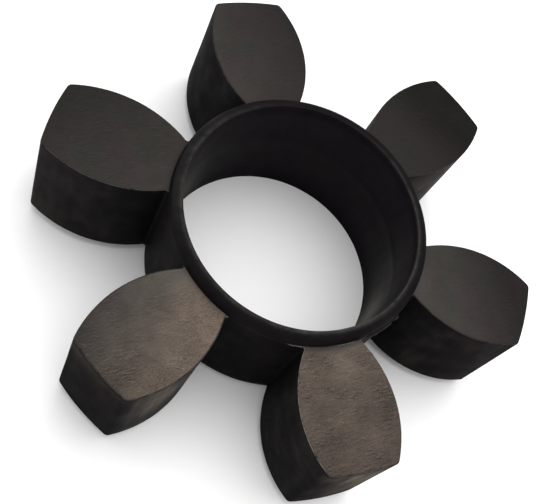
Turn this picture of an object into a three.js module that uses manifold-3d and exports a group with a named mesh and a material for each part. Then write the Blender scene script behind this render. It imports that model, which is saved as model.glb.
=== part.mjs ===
// Elastic spider of a jaw coupling: one piece, moulded in black rubber.
// A thin sleeve carries six equal lobes and runs past them on both sides as a rounded collar.
// Each lobe is a barrel in plan: bowed flanks, a tip on one common circle, straight walls.
// Units are millimetres, +Z is the coupling's axis. The origin is the middle of the lower
// collar's face, and one lobe points along +X.

import * as THREE from 'three';
import { mergeVertices } from 'three/addons/utils/BufferGeometryUtils.js';
import Module from 'manifold-3d';

// Driving dimensions of the lobes
const LOBE_COUNT = 6;
const TIP_RADIUS = 87; // circle through the tips, from the axis
const LOBE_WIDTH = 33.6; // across the flanks, where the lobe is widest
const WIDEST_RADIUS = 67.1; // how far from the axis the lobe is widest
const FLANK_RADIUS = 40.8; // bow of the flanks
const LOBE_THICKNESS = 42; // along the axis
const TIP_CORNER_RADIUS = 2; // upright edges between flank and tip
const ROOT_FILLET = 1; // between flank and sleeve
const EDGE_BREAK = 0.4; // along the edges of the flat faces

// Driving dimensions of the sleeve
const BORE_RADIUS = 41.1; // at the upper mouth, the wider one
const BORE_DRAFT = THREE.MathUtils.degToRad(0.7); // taper that frees the mould core
const SLEEVE_WALL = 4.1;
const COLLAR_RISE = 3.9; // how far each collar stands proud of the lobes' faces
const COLLAR_FOOT = 0.7; // upright part of the collar below its round
const COLLAR_LIP = 0.9; // flat ring left between the round and the bore

// Fineness of the facets
const TURN_STEPS = 144;
const ROUND_STEPS = 6;
const OUTLINE_STEPS = 5;

// Sizes that follow
const SLEEVE_RADIUS = BORE_RADIUS + SLEEVE_WALL;
const TOTAL_HEIGHT = LOBE_THICKNESS + 2 * COLLAR_RISE;
const LOWER_BORE_RADIUS = BORE_RADIUS - TOTAL_HEIGHT * Math.tan(BORE_DRAFT);
const ROUND_WIDTH = SLEEVE_WALL - COLLAR_LIP;
const ROUND_HEIGHT = COLLAR_RISE - COLLAR_FOOT;

const rubber = new THREE.MeshStandardMaterial({ color: 0x3a3836, roughness: 0.78, metalness: 0 });

const wasm = await Module();
wasm.setup();

// A closed three.js geometry as a solid that can be joined
function toSolid(geometry) {
  const bare = geometry.clone();
  bare.deleteAttribute('normal');
  bare.deleteAttribute('uv');
  const welded = mergeVertices(bare, 1e-5);
  return new wasm.Manifold(new wasm.Mesh({
    numProp: 3,
    vertProperties: new Float32Array(welded.attributes.position.array),
    triVerts: new Uint32Array(welded.index.array),
  }));
}

// A solid as a three.js geometry with flat facets
function toGeometry(solid) {
  const mesh = solid.getMesh();
  const geometry = new THREE.BufferGeometry();
  geometry.setAttribute('position', new THREE.BufferAttribute(mesh.vertProperties, mesh.numProp));
  geometry.setIndex(new THREE.BufferAttribute(mesh.triVerts, 1));
  const faceted = geometry.toNonIndexed();
  faceted.computeVertexNormals();
  return faceted;
}

// Where two circles meet, on the side of positive y. The first circle is about the origin.
function meetOriginCircle(originRadius, centre, radius) {
  const gap = centre.length();
  const along = (originRadius ** 2 - radius ** 2 + gap ** 2) / (2 * gap);
  const aside = Math.sqrt(originRadius ** 2 - along ** 2);
  const direction = centre.clone().normalize();
  const normal = new THREE.Vector2(-direction.y, direction.x);
  return direction.multiplyScalar(along).addScaledVector(normal, aside);
}

// Angle of the line from one point to another
function heading(from, to) {
  return Math.atan2(to.y - from.y, to.x - from.x);
}

// Plan of the lobe on +X. It starts inside the sleeve's wall and runs counter-clockwise:
// root fillet, flank, tip corner, tip, and the same mirrored.
function lobeOutline() {
  const flankOffset = FLANK_RADIUS - LOBE_WIDTH / 2;
  const leftFlank = new THREE.Vector2(WIDEST_RADIUS, -flankOffset);
  const leftCorner = meetOriginCircle(TIP_RADIUS - TIP_CORNER_RADIUS, leftFlank, FLANK_RADIUS - TIP_CORNER_RADIUS);
  const leftRoot = meetOriginCircle(SLEEVE_RADIUS + ROOT_FILLET, leftFlank, FLANK_RADIUS + ROOT_FILLET);
  const mirror = (point) => new THREE.Vector2(point.x, -point.y);
  const rightFlank = mirror(leftFlank);
  const rightCorner = mirror(leftCorner);
  const rightRoot = mirror(leftRoot);

  const tipAngle = leftCorner.angle();
  const rootAngle = leftRoot.angle();
  const flankStart = heading(leftFlank, leftRoot);
  const flankEnd = heading(leftFlank, leftCorner);
  const anchorRadius = SLEEVE_RADIUS - SLEEVE_WALL / 2;

  const outline = new THREE.Shape();
  outline.moveTo(anchorRadius * Math.cos(rootAngle), -anchorRadius * Math.sin(rootAngle));
  outline.absarc(rightRoot.x, rightRoot.y, ROOT_FILLET, Math.PI - rootAngle, Math.PI - flankStart, true);
  outline.absarc(rightFlank.x, rightFlank.y, FLANK_RADIUS, -flankStart, -flankEnd, false);
  outline.absarc(rightCorner.x, rightCorner.y, TIP_CORNER_RADIUS, -flankEnd, -tipAngle, false);
  outline.absarc(0, 0, TIP_RADIUS, -tipAngle, tipAngle, false);
  outline.absarc(leftCorner.x, leftCorner.y, TIP_CORNER_RADIUS, tipAngle, flankEnd, false);
  outline.absarc(leftFlank.x, leftFlank.y, FLANK_RADIUS, flankEnd, flankStart, false);
  outline.absarc(leftRoot.x, leftRoot.y, ROOT_FILLET, Math.PI + flankStart, Math.PI + rootAngle, true);
  outline.absarc(0, 0, anchorRadius, rootAngle, -rootAngle, true);
  return outline;
}

// One lobe, with the edges of its two flat faces broken
function makeLobe(outline, angle) {
  const geometry = new THREE.ExtrudeGeometry(outline, {
    depth: LOBE_THICKNESS - 2 * EDGE_BREAK,
    curveSegments: OUTLINE_STEPS,
    bevelThickness: EDGE_BREAK,
    bevelSize: EDGE_BREAK,
    bevelOffset: -EDGE_BREAK,
    bevelSegments: 1,
  });
  geometry.translate(0, 0, COLLAR_RISE + EDGE_BREAK);
  geometry.rotateZ(angle);
  return toSolid(geometry);
}

// Quarter round of a collar, from the sleeve's wall to the lip. The side is 1 above and -1 below.
function collarRound(side) {
  const level = side > 0 ? TOTAL_HEIGHT - ROUND_HEIGHT : ROUND_HEIGHT;
  const inner = SLEEVE_RADIUS - ROUND_WIDTH;
  const curve = new THREE.EllipseCurve(inner, level, ROUND_WIDTH, ROUND_HEIGHT, 0, side * Math.PI / 2, side < 0);
  return curve.getPoints(ROUND_STEPS);
}

// Sleeve with both collars and its tapered bore, turned about the axis
function makeSleeve() {
  const profile = [
    new THREE.Vector2(LOWER_BORE_RADIUS, 0),
    ...collarRound(-1).reverse(),
    ...collarRound(1),
    new THREE.Vector2(BORE_RADIUS, TOTAL_HEIGHT),
    new THREE.Vector2(LOWER_BORE_RADIUS, 0),
  ];
  const geometry = new THREE.LatheGeometry(profile, TURN_STEPS);
  geometry.rotateX(Math.PI / 2);
  return toSolid(geometry);
}

function makeSpider() {
  const outline = lobeOutline();
  let body = makeSleeve();
  for (let i = 0; i < LOBE_COUNT; i += 1) {
    body = body.add(makeLobe(outline, (i * 2 * Math.PI) / LOBE_COUNT));
  }
  const mesh = new THREE.Mesh(toGeometry(body), rubber);
  mesh.name = 'coupling_spider';
  return mesh;
}

const spider = new THREE.Group();
spider.add(makeSpider());

export default spider;
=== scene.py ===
import math

import bmesh
import bpy
import numpy as np
from mathutils import Matrix, Vector, noise


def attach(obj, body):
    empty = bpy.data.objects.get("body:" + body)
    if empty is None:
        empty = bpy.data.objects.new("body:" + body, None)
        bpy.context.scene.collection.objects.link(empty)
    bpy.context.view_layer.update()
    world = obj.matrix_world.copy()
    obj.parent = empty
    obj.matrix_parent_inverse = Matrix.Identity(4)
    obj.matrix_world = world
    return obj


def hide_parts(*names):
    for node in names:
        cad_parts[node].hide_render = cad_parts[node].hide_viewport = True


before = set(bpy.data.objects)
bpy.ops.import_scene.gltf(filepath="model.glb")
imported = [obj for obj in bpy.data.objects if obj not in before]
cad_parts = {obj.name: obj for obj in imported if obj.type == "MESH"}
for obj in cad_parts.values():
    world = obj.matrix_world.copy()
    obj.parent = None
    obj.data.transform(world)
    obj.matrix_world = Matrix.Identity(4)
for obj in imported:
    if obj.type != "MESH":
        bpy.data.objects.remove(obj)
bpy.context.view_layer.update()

# One moulded rubber spider: a thin sleeve with a rounded collar at each end and six barrel-shaped
# lobes. Its lengths are millimetres here, and the finished mesh is turned into metres.
MM = 0.001

# Sizes of the solid
LOBE_COUNT = 6
TIP_RADIUS = 87.0
LOBE_WIDTH = 33.6
WIDEST_RADIUS = 67.1
FLANK_RADIUS = 40.8
LOBE_THICKNESS = 42.0
TIP_CORNER_RADIUS = 2.0
ROOT_FILLET = 1.0
BORE_RADIUS = 41.1
BORE_DRAFT = math.radians(0.7)
SLEEVE_WALL = 4.1
COLLAR_RISE = 3.9
COLLAR_FOOT = 0.7
COLLAR_LIP = 0.9

SLEEVE_RADIUS = BORE_RADIUS + SLEEVE_WALL
HEIGHT = LOBE_THICKNESS + 2 * COLLAR_RISE
LOWER_FACE = COLLAR_RISE
UPPER_FACE = COLLAR_RISE + LOBE_THICKNESS
LOWER_BORE_RADIUS = BORE_RADIUS - HEIGHT * math.tan(BORE_DRAFT)
ROUND_WIDTH = SLEEVE_WALL - COLLAR_LIP
ROUND_HEIGHT = COLLAR_RISE - COLLAR_FOOT
SECTOR = 2 * math.pi / LOBE_COUNT

# Fine forms that only show here
EDGE_ROUND = 0.4
BORE_EDGE_ROUND = 0.2
FLASH_HALF_HEIGHT = 0.14
BEAD_HEIGHT = 0.32
EDGE_SHADE_BAND = 0.7  # the walls are painted darker this close below the lobes' upper faces: a painted line of shade under the edge

# Fineness of the mesh
FILLET_STEPS = 4
FLANK_STEPS = 44
CORNER_HALF_STEPS = 3
TIP_HALF_STEPS = 14
GAP_STEPS = 26
WALL_STEPS = 26
EDGE_STEPS = 4
COLLAR_STEPS = 9
MOUTH_STEPS = 3
BORE_STEPS = 40
WELD_DISTANCE = 1e-5

# Order of the two materials on the mesh
WALL_MATERIAL = 0
FACE_MATERIAL = 1


def cos_sin(turn):
    """Unit vectors in the plan at these angles."""
    return np.stack([np.cos(turn), np.sin(turn)], -1)


def circles_meet(origin_radius, centre, radius):
    """Where a circle about the axis meets another circle, on the clockwise side of its centre."""
    gap = np.linalg.norm(centre)
    along = (origin_radius**2 - radius**2 + gap**2) / (2 * gap)
    aside = math.sqrt(origin_radius**2 - along**2)
    direction = centre / gap
    return direction * along + aside * np.array([direction[1], -direction[0]])


def angle_of(vector):
    """Angle of a plan vector, from +X."""
    return math.atan2(vector[1], vector[0])


def lobe_half():
    """Half of the lobe's plan, on the side of negative y, from the sleeve to the middle of the tip.
    Gives the points, the outward directions, and the size of the edge rounding at each."""
    flank = np.array([WIDEST_RADIUS, FLANK_RADIUS - LOBE_WIDTH / 2])
    reach = SLEEVE_RADIUS + ROOT_FILLET
    corner = circles_meet(TIP_RADIUS - TIP_CORNER_RADIUS, flank, FLANK_RADIUS - TIP_CORNER_RADIUS)
    root = circles_meet(reach, flank, FLANK_RADIUS + ROOT_FILLET)
    points, outward, rounding = [], [], []

    # Root fillet: the edge rounding dies out on the sleeve
    start = angle_of(-root)
    sweep = (angle_of(flank - root) - start + math.pi) % (2 * math.pi) - math.pi
    rounded = ROOT_FILLET + EDGE_ROUND
    meet = math.acos((reach**2 + rounded**2 - SLEEVE_RADIUS**2) / (2 * reach * rounded))
    share = meet / abs(sweep)
    steps = np.concatenate([
        np.linspace(0, share, FILLET_STEPS + 1),
        np.linspace(share, 1, FILLET_STEPS + 1)[1:],
    ])
    for s in steps:
        alpha = s * abs(sweep)
        turn = start + s * sweep
        points.append(root + ROOT_FILLET * cos_sin(turn))
        outward.append(-cos_sin(turn))
        room = (reach * math.cos(alpha)) ** 2 - (reach**2 - SLEEVE_RADIUS**2)
        size = EDGE_ROUND
        if s < share * 0.9999 and room > 0:
            size = reach * math.cos(alpha) - math.sqrt(room) - ROOT_FILLET
        rounding.append(max(size, 0.0))

    def arc(centre, radius, first, last, count):
        for turn in np.linspace(first, last, count + 1)[1:]:
            points.append(centre + radius * cos_sin(turn))
            outward.append(cos_sin(turn))
            rounding.append(EDGE_ROUND)

    arc(flank, FLANK_RADIUS, angle_of(root - flank), angle_of(corner - flank), FLANK_STEPS)
    corner_steps = 2 * CORNER_HALF_STEPS
    arc(corner, TIP_CORNER_RADIUS, angle_of(corner - flank), angle_of(corner), corner_steps)
    arc(np.zeros(2), TIP_RADIUS, angle_of(corner), 0.0, TIP_HALF_STEPS)
    return np.array(points), np.array(outward), np.array(rounding)


def lobe_plan():
    """The whole plan of the lobe, from one side of its root to the other."""
    points, outward, rounding = lobe_half()
    mirror = np.array([1, -1])
    points = np.concatenate([points, points[-2::-1] * mirror])
    outward = np.concatenate([outward, outward[-2::-1] * mirror])
    rounding = np.concatenate([rounding, rounding[-2::-1]])
    return points, outward, rounding


def lengths_along(line):
    """Distance along a line of points, from 0 to 1."""
    steps = np.concatenate([[0], np.cumsum(np.linalg.norm(np.diff(line, axis=0), axis=1))])
    return steps / steps[-1]


def face_grid(plan, outward, rounding):
    """Grid of plan points over a lobe's flat face, up to its rounded edges and the sleeve."""
    border = plan - outward * rounding[:, None]
    first, last = FILLET_STEPS, len(plan) - 1 - FILLET_STEPS
    side_steps = FILLET_STEPS + FLANK_STEPS + CORNER_HALF_STEPS
    left = border[first:first + side_steps + 1]
    right = border[last - side_steps:last + 1][::-1]
    top = border[first + side_steps:last - side_steps + 1]
    u = lengths_along(top)
    v = lengths_along(left)
    half_turn = abs(angle_of(left[0]))
    bottom = SLEEVE_RADIUS * cos_sin(-half_turn + 2 * half_turn * u)
    u, v = u[None, :, None], v[:, None, None]
    across = (1 - v) * bottom[None] + v * top[None]
    along = (1 - u) * left[:, None] + u * right[:, None]
    bottom_corners = (1 - u) * bottom[0] + u * bottom[-1]
    top_corners = (1 - u) * top[0] + u * top[-1]
    return across + along - ((1 - v) * bottom_corners + v * top_corners), bottom


def collar_profile():
    """Section of the sleeve as (radius, height): from the upper lobe faces over the upper collar,
    down the bore and round the lower collar to the lower lobe faces."""

    def quarter_round(centre_radius, width, rise, start, count):
        """A quarter turn of an ellipse whose highest point is at the sleeve's full height."""
        return [
            (centre_radius + width * math.cos(t), HEIGHT - rise + rise * math.sin(t))
            for t in np.linspace(start, start + math.pi / 2, count + 1)
        ]

    foot = [(SLEEVE_RADIUS, UPPER_FACE + rise) for rise in (0.0, FLASH_HALF_HEIGHT, BEAD_HEIGHT)]
    bend = quarter_round(SLEEVE_RADIUS - ROUND_WIDTH, ROUND_WIDTH, ROUND_HEIGHT, 0.0, COLLAR_STEPS)
    inner = BORE_RADIUS + BORE_EDGE_ROUND
    mouth = quarter_round(inner, BORE_EDGE_ROUND, BORE_EDGE_ROUND, math.pi / 2, MOUTH_STEPS)
    upper = foot + bend + mouth
    draft = BORE_RADIUS - LOWER_BORE_RADIUS
    lower = [
        (r - draft if i < len(mouth) else r, HEIGHT - z)
        for i, (r, z) in enumerate(upper[::-1])
    ]
    first, last = np.array(mouth[-1]), np.array(lower[0])
    wall = [first + (last - first) * s for s in np.linspace(0, 1, BORE_STEPS + 1)[1:-1]]
    return np.array([*upper, *wall, *lower])


class Skin:
    """Gathers grids of points, which weld() joins into one closed skin."""

    def __init__(self):
        self.points, self.quads, self.edge, self.kind, self.count = [], [], [], [], 0

    def add(self, grid, edge=0.0, kind=WALL_MATERIAL):
        """Adds a grid of points, how far each is on an edge, and the number of the material."""
        rows, columns = grid.shape[:2]
        index = np.arange(rows * columns).reshape(rows, columns) + self.count
        self.points.append(grid.reshape(-1, 3))
        self.edge.append(np.broadcast_to(edge, (rows, columns)).reshape(-1))
        around = [index[:-1, :-1], index[:-1, 1:], index[1:, 1:], index[1:, :-1]]
        quads = np.stack(around, -1).reshape(-1, 4)
        self.quads.append(quads)
        self.kind.append(np.full(len(quads), kind))
        self.count += rows * columns


def turned(grid, turn):
    """Points turned about the axis."""
    c, s = math.cos(turn), math.sin(turn)
    out = grid.copy()
    out[..., 0] = c * grid[..., 0] - s * grid[..., 1]
    out[..., 1] = s * grid[..., 0] + c * grid[..., 1]
    return out


def lift(plan, height):
    """Plan points at a height."""
    height = np.broadcast_to(height, plan.shape[:-1])
    return np.concatenate([plan, height[..., None]], -1)


def build_skin():
    """All surfaces of the spider, sector by sector."""
    skin = Skin()
    plan, outward, rounding = lobe_plan()
    face, root_arc = face_grid(plan, outward, rounding)
    levels = np.concatenate([
        [0, FLASH_HALF_HEIGHT / LOBE_THICKNESS],
        np.linspace(0, 1, WALL_STEPS + 1)[1:-1],
        [1 - EDGE_SHADE_BAND / LOBE_THICKNESS, 1 - FLASH_HALF_HEIGHT / LOBE_THICKNESS, 1],
    ])
    wall_plan = np.broadcast_to(plan[None], (len(levels), *plan.shape))
    low, high = LOWER_FACE + rounding, UPPER_FACE - rounding
    wall = lift(wall_plan, low[None] + (high - low)[None] * levels[:, None])

    turn = np.linspace(0, math.pi / 2, EDGE_STEPS + 1)[:, None]
    strip_plan = plan[None] - outward[None] * (rounding[None] * (1 - np.cos(turn)))[..., None]
    upper_strip = lift(strip_plan, UPPER_FACE - rounding[None] * (1 - np.sin(turn)))
    lower_strip = lift(strip_plan, LOWER_FACE + rounding[None] * (1 - np.sin(turn)))
    on_edge = np.sin(2 * turn) * (rounding[None] / EDGE_ROUND)

    root_angle = abs(angle_of(plan[0]))
    gap = np.linspace(root_angle, SECTOR - root_angle, GAP_STEPS + 1)
    gap_plan = np.broadcast_to(SLEEVE_RADIUS * cos_sin(gap)[None], (len(levels), len(gap), 2))
    gap_wall = lift(gap_plan, (LOWER_FACE + LOBE_THICKNESS * levels)[:, None])

    # The sleeve is turned through the angles that the lobes and the gaps already have
    border = plan - outward * rounding[:, None]
    on_sleeve = border[:FILLET_STEPS + 1]
    angles = np.concatenate([
        [angle_of(p) for p in on_sleeve],
        [angle_of(p) for p in root_arc[1:-1]],
        [-angle_of(p) for p in on_sleeve[::-1]],
        gap[1:],
    ])
    profile = collar_profile()

    for i in range(LOBE_COUNT):
        a = i * SECTOR
        skin.add(turned(wall, a))
        skin.add(turned(upper_strip, a), on_edge)
        skin.add(turned(lower_strip, a), on_edge)
        skin.add(turned(lift(face, UPPER_FACE), a), kind=FACE_MATERIAL)
        skin.add(turned(lift(face, LOWER_FACE), a), kind=FACE_MATERIAL)
        skin.add(turned(gap_wall, a))
        ring = cos_sin(angles + a)
        skin.add(lift(ring[None] * profile[:, None, None, 0], profile[:, None, 1]))
    return skin


def weld(skin, name):
    """One closed mesh from the gathered grids. The attribute edge says which points are on edges."""
    points = np.concatenate(skin.points)
    edge = np.concatenate(skin.edge)
    quads = np.concatenate(skin.quads)
    kind = np.concatenate(skin.kind)
    mesh = bpy.data.meshes.new(name)
    bm = bmesh.new()
    layer = bm.verts.layers.float.new("edge")
    verts = []
    for p, e in zip(points.tolist(), edge.tolist()):
        v = bm.verts.new(p)
        v[layer] = e
        verts.append(v)
    for q, k in zip(quads.tolist(), kind.tolist()):
        f = bm.faces.new([verts[j] for j in q])
        f.material_index = k
        f.smooth = True
    bmesh.ops.remove_doubles(bm, verts=bm.verts, dist=WELD_DISTANCE)
    bmesh.ops.dissolve_degenerate(bm, dist=WELD_DISTANCE, edges=bm.edges)
    bmesh.ops.recalc_face_normals(bm, faces=bm.faces)
    open_edges = sum(1 for e in bm.edges if len(e.link_faces) != 2)
    triangles = sum(len(f.verts) - 2 for f in bm.faces)
    print("skin", len(bm.verts), "vertices", triangles, "triangles", open_edges, "open edges")
    bm.to_mesh(mesh)
    bm.free()
    return mesh


def ramp(x, start, end):
    """0 at the start value, 1 at the end value, and held outside."""
    return np.clip((x - start) / (end - start), 0, 1)


def hump(x, middle, spread):
    """1 at the middle value, falling softly to both sides."""
    return np.exp(-(((x - middle) / spread) ** 2))


def plateau(x, first, last, rise):
    """1 between two values, falling to 0 over the rise at each end."""
    return np.clip(np.minimum(x - first, last - x) / rise, 0, 1)


def turn_from(angle):
    """Each point's angle about the axis from this one, within half a turn, in degrees."""
    return (polar - angle + 180) % 360 - 180


def read_points(mesh, kind):
    """The mesh's own vectors, one row for each point."""
    values = np.zeros(len(mesh.vertices) * 3)
    mesh.vertices.foreach_get(kind, values)
    return values.reshape(-1, 3)


mesh = weld(build_skin(), "rubber_spider")
co = read_points(mesh, "co")
normal = read_points(mesh, "normal")
radius = np.hypot(co[:, 0], co[:, 1])
polar = np.degrees(np.arctan2(co[:, 1], co[:, 0])) % 360

# Mould flash on the sleeve at the level of the lobes' upper faces: a thin fin beside one lobe, a torn
# ledge on its other side, a short spike at the next lobe, and a low bead above it on the collar
TOUCH = 0.01
RAGGED_STEPS = 60
on_sleeve_wall = np.abs(radius - SLEEVE_RADIUS) < TOUCH
on_parting = (np.abs(co[:, 2] - UPPER_FACE) < TOUCH) & on_sleeve_wall
on_bead = (np.abs(co[:, 2] - UPPER_FACE - BEAD_HEIGHT) < TOUCH) & on_sleeve_wall
rough = np.array([noise.noise(Vector((math.radians(a) * RAGGED_STEPS, 3.1, 0))) for a in polar])


def flash_rim(reach, first, last, rise, ragged=0.0):
    """How far flash stands out between two angles, with a rise at each end and a ragged edge."""
    return reach * plateau(polar, first, last, rise) * (1 + ragged * rough)


fin = flash_rim(0.42, 279.0, 287.4, 1.5, 0.5) * on_parting
ledge = flash_rim(0.85, 315.5, 330.3, 0.6, 0.35) * on_parting
torn = flash_rim(1.05, 330.9, 334.2, 0.5, 0.25) * on_parting
spike = flash_rim(0.8, 252.2, 254.0, 0.5) * on_parting
bead = flash_rim(0.34, 296.0, 313.8, 6.0) * on_bead
flash = np.maximum(np.maximum(fin, ledge), np.maximum(torn, spike)) + bead
co[:, :2] += flash[:, None] * co[:, :2] / radius[:, None]
# Painted highlight: the flash is painted pale along its thin edges
flash_highlight = np.clip(fin * 2.6 + (ledge + torn) * 0.15 + spike + bead * 3.0, 0, 1)

# The moulded surfaces are never quite flat: slow waves inwards, calmer beyond the lobes' faces
WAVE_DEPTH = 0.05
WAVE_SIZE, RIPPLE_SIZE, RIPPLE_SHARE = 17.0, 6.0, 0.35
RIPPLE_OFFSET = Vector((7, 1, 4))
wave = np.array([noise.noise(Vector(p) / WAVE_SIZE) for p in co.tolist()])
ripple = np.array([noise.noise(Vector(p) / RIPPLE_SIZE + RIPPLE_OFFSET) for p in co.tolist()])
wave += RIPPLE_SHARE * ripple
past_faces = np.abs(co[:, 2] - HEIGHT / 2) - (LOBE_THICKNESS / 2 - 0.5)
calm = np.clip(1 - past_faces / 1.5, 0.25, 1)
co -= normal * (WAVE_DEPTH * (1 + wave) * calm)[:, None]
co[:, 2] = np.clip(co[:, 2], 0, HEIGHT)
mesh.vertices.foreach_set("co", (co * MM).ravel())
mesh.update()

spider = bpy.data.objects.new("rubber_spider", mesh)
bpy.context.scene.collection.objects.link(spider)
mesh.set_sharp_from_angle(angle=math.radians(34))
weighted = spider.modifiers.new("weighted_normals", "WEIGHTED_NORMAL")
weighted.keep_sharp = True
weighted.weight = 60

# Where each point is: its height, the lobe it belongs to, and its place along and across that lobe.
# The lobes are counted counter-clockwise from +X, which is east here.
EAST, NORTH_EAST, NORTH_WEST, WEST, SOUTH_WEST, SOUTH_EAST = range(LOBE_COUNT)
z = co[:, 2]
upper = z > HEIGHT / 2
lobe = np.round(polar / 60).astype(int) % LOBE_COUNT
lobe_turn = np.radians(lobe * 60.0)
along = co[:, 0] * np.cos(lobe_turn) + co[:, 1] * np.sin(lobe_turn)
across = co[:, 1] * np.cos(lobe_turn) - co[:, 0] * np.sin(lobe_turn)
side_share = across / 8.5
in_bore = radius < BORE_RADIUS + 0.1

# Ranges of radius for marks on the walls
ALL = (0, 100)
BORE = (0, BORE_RADIUS + 0.1)
TIP = (TIP_RADIUS - 1.5, 100)
FLANK = (SLEEVE_RADIUS + 2, 84)
SLEEVE = (SLEEVE_RADIUS - 1, SLEEVE_RADIUS + 0.5)
COLLAR = (BORE_RADIUS + 0.5, SLEEVE_RADIUS + 0.2)
LIP = (BORE_RADIUS - 0.1, SLEEVE_RADIUS - 0.6)


def spot(of_lobe, out, aside, size):
    """A soft mark on one lobe's upper face: 1 in its middle, by distance out and to the side."""
    return hump(along, out, size) * hump(across, aside, size) * upper * (lobe == of_lobe)


def patch(angle, angle_spread, height, height_spread, reach=ALL):
    """A soft round mark on the walls: 1 in its middle, by angle about the axis and height."""
    near = hump(turn_from(angle), 0, angle_spread) * hump(z, height, height_spread)
    return near * (radius > reach[0]) * (radius < reach[1])


# Wear and painted light on the faces: their lightness is partly dust and partly painted light, the
# two southern lobes, where the overhead light's reflection falls, being painted lighter. For each
# lobe: how light the middle of its upper face is, how much that rises towards the collar and towards
# its counter-clockwise side, and how scuffed the face is.
LOBE_WEAR_AND_LIGHT = {
    EAST: (0.125, 0.115, -0.04, 0.12),
    NORTH_EAST: (0.020, 0.040, 0.00, 0.10),
    NORTH_WEST: (0.112, 0.024, 0.040, 0.12),
    WEST: (0.105, 0.040, 0.02, 0.15),
    SOUTH_WEST: (0.53, 0.16, 0.13, 1.00),
    SOUTH_EAST: (0.49, 0.12, -0.01, 1.00),
}
UNDERSIDE_WEAR = (0.16, 0.03, 0.00, 0.30)

# Lighter and darker spots on the two dusty faces: lobe, strength, distances out and aside, size
FACE_SPOTS = (
    (SOUTH_EAST, 0.22, 52, 0, 5),
    (SOUTH_EAST, 0.16, 80, 4, 8),
    (SOUTH_EAST, -0.09, 66, 12, 7),
    (SOUTH_EAST, 0.04, 51, 8, 4),
    (SOUTH_EAST, -0.14, 50, -8, 5),
    (SOUTH_EAST, -0.05, 67, 12, 6),
    (SOUTH_WEST, 0.07, 53, 2, 7),
    (SOUTH_WEST, 0.02, 78, -8, 8),
    (SOUTH_WEST, -0.08, 79, 8, 6),
    (SOUTH_WEST, 0.04, 66, 10, 7),
)

# Dust on the walls, and painted light on the walls that face the side light (the south-east tip and
# the flanks at 251 and 50 degrees): strength, angle, spread in degrees, height, spread in height,
# range of radius
WALL_PATCHES = (
    (0.66, 304.5, 5.4, 29, 19, TIP),
    (0.44, 299.5, 2.8, 40, 9, TIP),
    (0.26, 294.5, 3.0, 44, 6, TIP),
    (0.10, 240, 14, 45, 7, TIP),
    (0.10, 233, 4, 44, 6, TIP),
    (0.05, 186, 4, 14, 9, TIP),
    (0.05, 251, 8, 34, 14, FLANK),
    (0.26, 50, 7, 36, 14, FLANK),
    (0.03, 213, 6, 34, 16, SLEEVE),
)

# Painted sheen in the bore: soft reflections painted into the colour, in the same terms
BORE_PATCHES = (
    (0.95, 350, 10, 13, 12, BORE),
    (0.22, 6, 16, 22, 20, BORE),
    (0.60, 167, 12, 7, 12, BORE),
    (0.13, 158, 15, 20, 20, BORE),
)

# How much each lobe's walls grow lighter towards its tip, and how strong the painted highlight on its
# edges is, in the order of the lobes
TIP_LIGHTENING = np.array([0.020, 0.020, 0.006, 0.032, 0.0, 0.0])
EDGE_HIGHLIGHT_STRENGTH = np.array([0.40, 0.45, 0.30, 0.55, 0.35, 1.0])


def sum_of_patches(patches):
    return sum(strength * patch(*place) for strength, *place in patches)


def face_wear_and_light():
    """How light the lobes' faces are, from dust and painted light, and how scuffed."""
    wear = np.array([LOBE_WEAR_AND_LIGHT[i] for i in lobe.tolist()])
    wear[~upper] = UNDERSIDE_WEAR
    bloom_and_light = wear[:, 0] + wear[:, 1] * (WIDEST_RADIUS - along) / 16 + wear[:, 2] * side_share
    scuff = wear[:, 3].copy()
    # Painted shadow of the collar: beside the collar one dusty face is painted darker in a narrow
    # band, and is less scuffed there
    collar_shadow_band = upper * (lobe == SOUTH_EAST) * ramp(radius, SLEEVE_RADIUS + 2.0, SLEEVE_RADIUS + 1.2)
    bloom_and_light *= 1 - 0.35 * collar_shadow_band
    scuff *= 1 - 0.8 * collar_shadow_band
    # The other one is smoother on its clockwise side, and both are roughest near the collar
    smoother = np.clip(0.72 + 0.30 * side_share, 0.35, 1.0)
    scuff *= np.where((lobe == SOUTH_WEST) & upper, smoother, 1.0)
    scuff *= 1 + 0.2 * np.clip((62 - along) / 8, -0.5, 1) * (scuff > 0.5)
    for of_lobe, strength, out, aside, size in FACE_SPOTS:
        bloom_and_light += strength * spot(of_lobe, out, aside, size)
    return bloom_and_light, scuff


def bore_sheen():
    """Painted sheen: the bore is painted lighter on two sides as a soft reflection, duller above a
    faint painted ring at mid height, slightly lighter overall but less near its bottom, and darker
    just under the rim.
    """
    sheen = sum_of_patches(BORE_PATCHES) + 0.060 * in_bore * np.maximum(ramp(z, 2, 14), 0.1)
    turn = turn_from(0)
    above_ring = z - 28.8 - 2.8 * ramp(turn, 22, -14) * (turn > -60)
    ring_depth = 0.25 + 0.40 * hump(turn, 30, 42)
    ring = ring_depth * (0.5 * hump(above_ring, -2.8, 1.6) - hump(above_ring, 0, 1.2))
    sheen *= 1 + ring - 0.22 * ramp(above_ring, 0, 1.5)
    return sheen * (1 - 0.8 * ramp(z, 44.5, 47))


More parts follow.
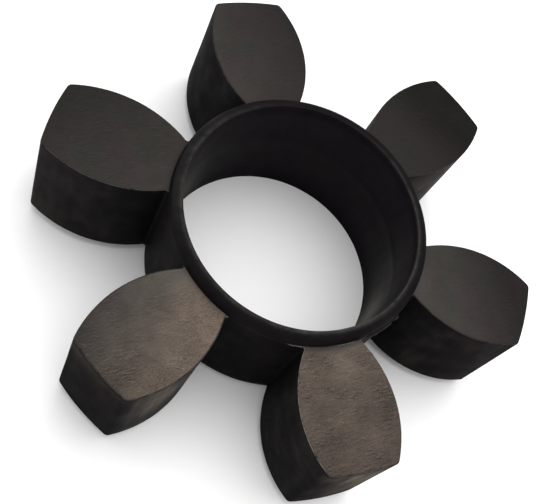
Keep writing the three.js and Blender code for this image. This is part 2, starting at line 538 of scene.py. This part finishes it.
def wall_dust_and_light():
    """Dust, painted light and painted sheen on the walls, the bore and the collar."""
    dust_and_painted_light = sum_of_patches(WALL_PATCHES) + bore_sheen()
    # One flank of a dusty lobe, in two places: dust, and painted light, as this flank faces the side
    # light
    on_side = (radius > SLEEVE_RADIUS + 1) & (radius < 84)
    flank = (lobe == SOUTH_WEST) * ramp(across, 8, 11) * on_side
    dust_and_painted_light += 0.52 * flank * hump(along, 72, 6.5) * hump(z, 36, 17)
    dust_and_painted_light += 0.55 * flank * hump(along, 49, 6) * hump(z, 41, 8)
    dust_and_painted_light += TIP_LIGHTENING[lobe] * ramp(radius, 60, 84)
    dust_and_painted_light *= 1 - 0.8 * patch(174.5, 4.5, 14, 9, TIP) - 0.3 * patch(186, 5, 40, 7, TIP)
    # Painted shade: a dark line along the walls just under the lobes' upper edges
    shade_under_edge = np.maximum(ramp(z, UPPER_FACE - EDGE_SHADE_BAND, UPPER_FACE - EDGE_SHADE_BAND - 0.9), 0.12)
    dust_and_painted_light *= np.where(radius > SLEEVE_RADIUS + 2, shade_under_edge, 1.0)
    # Painted highlights: the flat lip is painted lighter on one side, and the collar's round has two
    # soft painted light places
    lip_end = BORE_RADIUS + COLLAR_LIP
    on_lip = (z > HEIGHT - 0.45) * ramp(radius, lip_end + 0.7, lip_end + 0.1)
    dust_and_painted_light += on_lip * (0.09 + 0.085 * np.cos(np.radians(polar - 285)))
    dust_and_painted_light += on_lip * 0.05 * (patch(160, 35, HEIGHT, 3) - patch(345, 18, HEIGHT, 3))
    dust_and_painted_light += 0.035 * patch(327, 12, 47.6, 1.6, COLLAR)
    dust_and_painted_light += 0.07 * patch(180, 36, HEIGHT, 2.5, LIP)
    # Painted highlight: a thin light line along the bore's upper edge on one side
    at_mouth = (z > HEIGHT - 0.30) * (radius < BORE_RADIUS + 0.30)
    edge_highlight = np.clip(np.cos(np.radians((polar - 5) * 1.1)), 0, 1) * (np.abs(turn_from(5)) < 80)
    return dust_and_painted_light + 0.17 * at_mouth * edge_highlight


def cloudiness(tip_share):
    """How strongly the cloudy marks show on the walls."""
    cloudy = np.where(radius < SLEEVE_RADIUS - 0.5, 0.15, np.maximum(ramp(radius, 40, 62), 0.3))
    cloudy *= 1 - 0.75 * tip_share
    cloudy *= 1 - 0.8 * patch(174.5, 4.5, 14, 9, TIP)
    outside = radius > SLEEVE_RADIUS
    for place, share in (
        ((lobe == SOUTH_EAST) & (across < -5) & outside, 0.65),
        ((lobe == NORTH_WEST) & (radius > 60), 0.5),
        ((lobe == WEST) & (across > 5) & outside, 0.6),
        ((lobe == EAST) & (radius > 66), 0.6),
    ):
        cloudy *= np.where(place, share, 1.0)
    return cloudy


def dullness(tip_share):
    """Where the skin is duller: two tips, three flanks, and the outer part of one upper face."""
    below_top = (z < UPPER_FACE - 0.2) & (z > LOWER_FACE + 0.2)
    on_wall = below_top & (radius > SLEEVE_RADIUS - 0.5)
    gap_side = (lobe == SOUTH_WEST) & (across > 5) & (radius < SLEEVE_RADIUS + 0.05)
    near_flank = ((lobe == SOUTH_EAST) & (across < -5)) | gap_side
    towards_collar = np.clip(0.35 + (56 - along) / 12, 0.3, 1.0)
    dull = np.maximum.reduce([
        0.88 * tip_share,
        0.55 * (lobe == NORTH_WEST) * ramp(radius, 56, 64),
        0.55 * (lobe == EAST) * ramp(radius, 62, 70),
        near_flank * ramp(polar, 255, 273) * towards_collar,
    ])
    return dull * on_wall + 0.9 * upper * ~on_wall * (lobe == NORTH_EAST) * ramp(along, 58, 76)


def crumbliness():
    """One dusty face is crumbly rather than scratched, most on one side and near the collar."""
    share = np.clip(0.45 + 0.5 * side_share + 0.25 * (62 - along) / 10, 0, 1)
    return upper * np.maximum(share * (lobe == SOUTH_WEST), 0.35 * (lobe == SOUTH_EAST))


# Painted highlights along the rounded edges: each lobe's own strength, weaker on the south-east tip
edge_values = mesh.attributes["edge"].data
edge = np.zeros(len(co))
edge_values.foreach_get("value", edge)
edge *= EDGE_HIGHLIGHT_STRENGTH[lobe]
edge *= np.where((lobe == SOUTH_EAST) & (radius > TIP_RADIUS - 2.5), 0.45, 1.0)
edge_values.foreach_set("value", edge.astype(np.float32))

bloom_and_light, scuff = face_wear_and_light()
tip_share = ramp(radius, 83.0, 86.5) * (lobe >= SOUTH_WEST)
POINT_VALUES = {
    "bloom_and_light": bloom_and_light,
    "scuff": scuff,
    "dust_and_painted_light": wall_dust_and_light(),
    "cloudy": cloudiness(tip_share),
    "even": np.where(in_bore, 1.0, 0.0),
    "bore_and_collar": np.where(radius < SLEEVE_RADIUS - 0.3, 1.0, 0.0),
    "dull": dullness(tip_share),
    "crumbly": crumbliness(),
    "flash": flash_highlight,
}
for name, values in POINT_VALUES.items():
    attribute = mesh.attributes.new(name, "FLOAT", "POINT")
    attribute.data.foreach_set("value", np.clip(values, 0, 1.2).astype(np.float32))


# Materials
class Nodes:
    """Short calls for building a material's node tree."""

    def __init__(self, name):
        self.material = bpy.data.materials.new(name)
        self.material.use_nodes = True
        self.tree = self.material.node_tree
        self.tree.nodes.clear()
        surface = self.tree.nodes.new("ShaderNodeOutputMaterial")
        self.shader = self.tree.nodes.new("ShaderNodeBsdfPrincipled")
        self.join(self.shader.outputs[0], surface.inputs[0])
        self.place = self.tree.nodes.new("ShaderNodeTexCoord").outputs["Object"]

    def join(self, source, target):
        """Sets an input to a plain value, or links it to another node's output."""
        if isinstance(source, (int, float, tuple)):
            target.default_value = source
        else:
            self.tree.links.new(source, target)

    def math(self, operation, a, b=0.0, clamp=False):
        node = self.tree.nodes.new("ShaderNodeMath")
        node.operation = operation
        node.use_clamp = clamp
        self.join(a, node.inputs[0])
        self.join(b, node.inputs[1])
        return node.outputs[0]

    def times(self, a, b, clamp=False):
        return self.math("MULTIPLY", a, b, clamp)

    def plus(self, a, b, clamp=False):
        return self.math("ADD", a, b, clamp)

    def minus(self, a, b):
        return self.math("SUBTRACT", a, b)

    def attribute(self, name):
        """One of the mesh's own point values."""
        node = self.tree.nodes.new("ShaderNodeAttribute")
        node.attribute_name = name
        return node.outputs["Fac"]

    def mapped(self, turn=0.0, stretch=(1, 1, 1), offset=(0, 0, 0)):
        """The object's own coordinates, turned about the axis, then stretched and moved."""
        spin = self.tree.nodes.new("ShaderNodeVectorRotate")
        spin.rotation_type = "Z_AXIS"
        spin.inputs["Angle"].default_value = -math.radians(turn)
        self.join(self.place, spin.inputs["Vector"])
        node = self.tree.nodes.new("ShaderNodeMapping")
        node.inputs["Scale"].default_value = stretch
        node.inputs["Location"].default_value = offset
        self.join(spin.outputs[0], node.inputs["Vector"])
        return node.outputs[0]

    def noise(
        self, size_mm, where=None, detail=3.0, roughness=0.55, distortion=0.0, low=0.3, high=0.7
    ):
        """Noise whose features are about this size, spread to 0..1."""
        node = self.tree.nodes.new("ShaderNodeTexNoise")
        node.inputs["Scale"].default_value = 1.0 / (size_mm * MM)
        node.inputs["Detail"].default_value = detail
        node.inputs["Roughness"].default_value = roughness
        node.inputs["Distortion"].default_value = distortion
        self.join(self.place if where is None else where, node.inputs["Vector"])
        return self.spread(node.outputs["Fac"], low, high)

    def spread(self, value, low, high, first=0.0, last=1.0):
        """Maps low..high to first..last, and holds the ends."""
        node = self.tree.nodes.new("ShaderNodeMapRange")
        node.clamp = True
        self.join(value, node.inputs["Value"])
        self.join(low, node.inputs["From Min"])
        self.join(high, node.inputs["From Max"])
        self.join(first, node.inputs["To Min"])
        self.join(last, node.inputs["To Max"])
        return node.outputs["Result"]

    def mix(self, share, a, b):
        """Colour between a and b."""
        node = self.tree.nodes.new("ShaderNodeMix")
        node.data_type = "RGBA"
        self.join(share, node.inputs[0])
        self.join(a, node.inputs[6])
        self.join(b, node.inputs[7])
        return node.outputs[2]

    def bump(self, height, strength, distance_mm, after=None):
        """Fine relief, on top of another one if given."""
        node = self.tree.nodes.new("ShaderNodeBump")
        node.inputs["Strength"].default_value = strength
        node.inputs["Distance"].default_value = distance_mm * MM
        self.join(height, node.inputs["Height"])
        if after is not None:
            self.join(after, node.inputs["Normal"])
        return node.outputs[0]


# Colours: bare rubber in several casts, the same rubber weathered, dust (also the colour of painted
# light and painted sheen), and painted highlights on edges and flash
BLACK = (0.0055, 0.0048, 0.0054, 1)
ROSY_BLACK = (0.0086, 0.0050, 0.0058, 1)
MOSS_BLACK = (0.0054, 0.0053, 0.0046, 1)
VIOLET_BLACK = (0.0066, 0.0049, 0.0074, 1)
WARM = (0.015, 0.0134, 0.0122, 1)
DUST = (0.124, 0.0955, 0.0765, 1)
GREY_DUST = (0.110, 0.0995, 0.083, 1)
ROSY_DUST = (0.108, 0.0945, 0.085, 1)
WALL_DUST_AND_LIGHT = (0.120, 0.0985, 0.0765, 1)
SHEEN_AND_DUST_GREY = (0.098, 0.096, 0.086, 1)
PAINTED_HIGHLIGHT = (0.20, 0.183, 0.163, 1)
SCRATCH_DIRECTION = 37.0  # degrees from +X


def moulded_rubber():
    """Walls, bore and collars: near-black skin with cloudy marks and fine grain, dust, painted light
    and sheen, and painted highlights.
    """
    n = Nodes("rubber_moulded")
    cloud = n.noise(9.0, detail=4.0, low=0.38, high=0.72)
    upright = n.mapped(stretch=(1, 1, 0.16))
    streak = n.noise(2.6, upright, detail=2.5, low=0.32, high=0.70)
    grain = n.noise(0.35, detail=3.0)
    marks = n.times(n.times(cloud, n.plus(streak, 0.6)), n.attribute("cloudy"))
    colour = n.mix(marks, n.mix(n.attribute("even"), BLACK, VIOLET_BLACK), WARM)
    patchy = n.noise(5.5, detail=4.0, roughness=0.6, low=0.34, high=0.66)
    patchiness = n.plus(n.times(patchy, 0.75), n.times(streak, 0.75))
    uneven = n.times(n.minus(patchiness, 0.75), n.spread(n.attribute("even"), 0.0, 1.0, 1.0, 0.18))
    # The dust point value carries dust, painted light on walls facing the side light, and painted
    # sheen and highlights in the bore and on the collar
    dust_and_light_share = n.times(n.attribute("dust_and_painted_light"), n.plus(uneven, 1.0), clamp=True)
    colour = n.mix(dust_and_light_share, colour, n.mix(n.attribute("bore_and_collar"), WALL_DUST_AND_LIGHT, SHEEN_AND_DUST_GREY))
    # Painted highlights: pale lines along the rounded edges, and along the flash
    highlight_breakup = n.noise(1.6, detail=3.0, low=0.25, high=0.55)
    shown = n.spread(n.attribute("bloom_and_light"), 0.0, 0.6, 0.35, 0.80)
    edge_highlight = n.times(n.attribute("edge"), n.times(highlight_breakup, shown))
    colour = n.mix(edge_highlight, colour, PAINTED_HIGHLIGHT)
    torn = n.times(n.attribute("flash"), n.spread(highlight_breakup, 0.0, 1.0, 0.35, 0.75))
    colour = n.mix(torn, colour, PAINTED_HIGHLIGHT)
    n.join(colour, n.shader.inputs["Base Color"])
    rough = n.spread(n.plus(cloud, n.times(streak, 0.5)), 0.0, 1.5, 0.60, 0.48)
    rough = n.times(rough, n.spread(n.attribute("dull"), 0.0, 1.0, 1.0, 1.5))
    n.join(rough, n.shader.inputs["Roughness"])
    n.shader.inputs["Specular IOR Level"].default_value = 0.014
    fine = n.bump(grain, 0.25, 0.05)
    n.join(n.bump(n.noise(3.0, detail=2.0), 0.25, 0.12, fine), n.shader.inputs["Normal"])
    return n.material


def face_rubber():
    """Flat ends of the lobes: dust and painted light, and on two of them short wrinkles and scratches
    one way.
    """
    n = Nodes("rubber_face")
    bloom_and_light, scuff = n.attribute("bloom_and_light"), n.attribute("scuff")

    def wrinkles(offset_mm, size_mm=1.2, stretch=0.34):
        """Short thin lines: where a stretched noise passes its middle value."""
        where = n.mapped(SCRATCH_DIRECTION, (stretch, 1, 1), (0, offset_mm * MM, 0))
        value = n.noise(size_mm, where, 1.5, 0.5, distortion=0.7, low=0.0, high=1.0)
        off_middle = n.math("ABSOLUTE", n.minus(value, 0.5))
        return n.spread(off_middle, 0.0, 0.05, 1.0, 0.0)

    broken = n.noise(2.2, n.mapped(SCRATCH_DIRECTION, (0.7, 1, 1)), detail=2.0, low=0.38, high=0.54)
    # Each wrinkle is painted as a light line with a dark line beside it: a painted highlight and a
    # painted shadow of its relief
    lit_wrinkle = n.times(wrinkles(0.0), broken)
    shaded_wrinkle = n.times(wrinkles(0.42), broken)
    drawn_out = n.mapped(SCRATCH_DIRECTION, (0.12, 1, 1))
    scratch = n.noise(0.45, drawn_out, detail=3.0, roughness=0.65, low=0.36, high=0.66)
    speckle = n.noise(0.42, detail=2.5, roughness=0.6, low=0.36, high=0.66)
    cloud = n.noise(8.0, detail=3.0, low=0.32, high=0.70)
    worked = n.noise(7.0, detail=2.0, low=0.34, high=0.58)

    base = n.times(bloom_and_light, n.spread(cloud, 0.0, 1.0, 0.76, 1.18))
    depth = n.times(scuff, n.spread(worked, 0.0, 1.0, 0.5, 1.05))
    lines = n.minus(n.times(lit_wrinkle, 0.40), n.times(shaded_wrinkle, 0.24))
    grains = n.times(n.minus(speckle, 0.5), 0.26)
    drawn = n.times(n.minus(scratch, 0.5), 0.30)
    crumbly = n.attribute("crumbly")
    curls = n.times(wrinkles(3.0, 0.75, 0.8), n.spread(crumbly, 0.2, 1.0, 0.0, 0.30))
    coarse = n.times(grains, n.spread(crumbly, 0.0, 1.0, 0.8, 1.7))
    crumbs = n.plus(coarse, n.minus(curls, n.times(crumbly, 0.05)))
    ruled = n.times(n.plus(lines, drawn), n.spread(crumbly, 0.0, 1.0, 1.0, 0.4))
    marked = n.times(n.plus(crumbs, ruled), depth)
    dust_and_light_share = n.plus(base, marked, clamp=True)
    mottle = n.noise(15.0, detail=2.0, low=0.42, high=0.58)
    tone = n.mix(n.spread(scuff, 0.2, 0.9), n.mix(mottle, ROSY_DUST, GREY_DUST), DUST)
    greenish = n.math("MAXIMUM", n.spread(scuff, 0.2, 0.5), n.attribute("dull"))
    greenish = n.math("MAXIMUM", greenish, mottle)
    dark = n.mix(greenish, ROSY_BLACK, MOSS_BLACK)
    colour = n.mix(dust_and_light_share, dark, tone)
    # Painted highlight along the rounded edges
    colour = n.mix(n.times(n.attribute("edge"), 0.5), colour, PAINTED_HIGHLIGHT)
    n.join(colour, n.shader.inputs["Base Color"])
    rough = n.spread(n.plus(cloud, scuff), 0.0, 2.0, 0.50, 0.66)
    rough = n.times(rough, n.spread(n.attribute("dull"), 0.0, 1.0, 1.0, 1.5))
    n.join(rough, n.shader.inputs["Roughness"])
    n.shader.inputs["Specular IOR Level"].default_value = 0.08
    fine = n.bump(speckle, 0.35, 0.04)
    relief = n.times(n.plus(lit_wrinkle, n.times(scratch, 0.4)), depth)
    n.join(n.bump(relief, 1.0, 0.10, fine), n.shader.inputs["Normal"])
    return n.material


mesh.materials.append(moulded_rubber())
mesh.materials.append(face_rubber())
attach(spider, "root")
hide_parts("coupling_spider")


# Floor
FLOOR_HALF = 4.0
corners = [(x * FLOOR_HALF, y * FLOOR_HALF, 0) for x, y in ((-1, -1), (1, -1), (1, 1), (-1, 1))]
floor_mesh = bpy.data.meshes.new("floor")
floor_mesh.from_pydata(corners, [], [(0, 1, 2, 3)])
floor = bpy.data.objects.new("floor", floor_mesh)
bpy.context.scene.collection.objects.link(floor)
floor_nodes = Nodes("pale_floor")
floor_nodes.shader.inputs["Base Color"].default_value = (0.93, 0.93, 0.93, 1)
floor_nodes.shader.inputs["Roughness"].default_value = 0.95
floor_nodes.shader.inputs["Specular IOR Level"].default_value = 0.1
floor_mesh.materials.append(floor_nodes.material)


# Light
AIM = Vector((0, 0, 0.03))


def area_light(name, azimuth, elevation, distance, size, power):
    """A round soft light, aimed at the object from a direction in degrees."""
    data = bpy.data.lights.new(name, "AREA")
    data.shape = "DISK"
    data.size = size
    data.energy = power
    a, e = math.radians(azimuth), math.radians(elevation)
    away = Vector((math.cos(a) * math.cos(e), math.sin(a) * math.cos(e), math.sin(e)))
    light = bpy.data.objects.new(name, data)
    light.location = away * distance + AIM
    light.rotation_mode = "QUATERNION"
    light.rotation_quaternion = away.to_track_quat("Z", "Y")
    bpy.context.scene.collection.objects.link(light)


area_light("overhead", 78, 69, 2.0, 2.6, 37.0)
area_light("side_fill", -15, 28, 1.2, 0.5, 0.8)

world = bpy.data.worlds.new("studio")
world.use_nodes = True
sky = world.node_tree.nodes["Background"]
sky.inputs["Color"].default_value = (1, 1, 1, 1)
sky.inputs["Strength"].default_value = 0.96
bpy.context.scene.world = world

# Camera: place, aim and shift are from the photograph's fit
PICTURE_WIDTH, PICTURE_HEIGHT = 560, 504
FOCAL_PIXELS = 958.06
PRINCIPAL = (332.94, 303.56)
EYE = Vector((-0.046784, -0.167668, 0.317425))
RIGHT = Vector((0.90365, 0.24986, 0.34783))
DOWN = Vector((0.37457, -0.85486, -0.35904))
FORWARD = Vector((0.20764, 0.45473, -0.86609))
camera_data = bpy.data.cameras.new("camera")
camera_data.sensor_width = 36.0
camera_data.lens = camera_data.sensor_width * FOCAL_PIXELS / PICTURE_WIDTH
camera_data.shift_x = (PICTURE_WIDTH / 2 - PRINCIPAL[0]) / PICTURE_WIDTH
camera_data.shift_y = (PRINCIPAL[1] - PICTURE_HEIGHT / 2) / PICTURE_WIDTH
camera = bpy.data.objects.new("camera", camera_data)
bpy.context.scene.collection.objects.link(camera)
turn = Matrix((RIGHT, -DOWN, -FORWARD)).transposed()
camera.matrix_world = Matrix.Translation(EYE) @ turn.to_4x4()
bpy.context.scene.camera = camera
bpy.context.scene.view_settings.view_transform = "Standard"
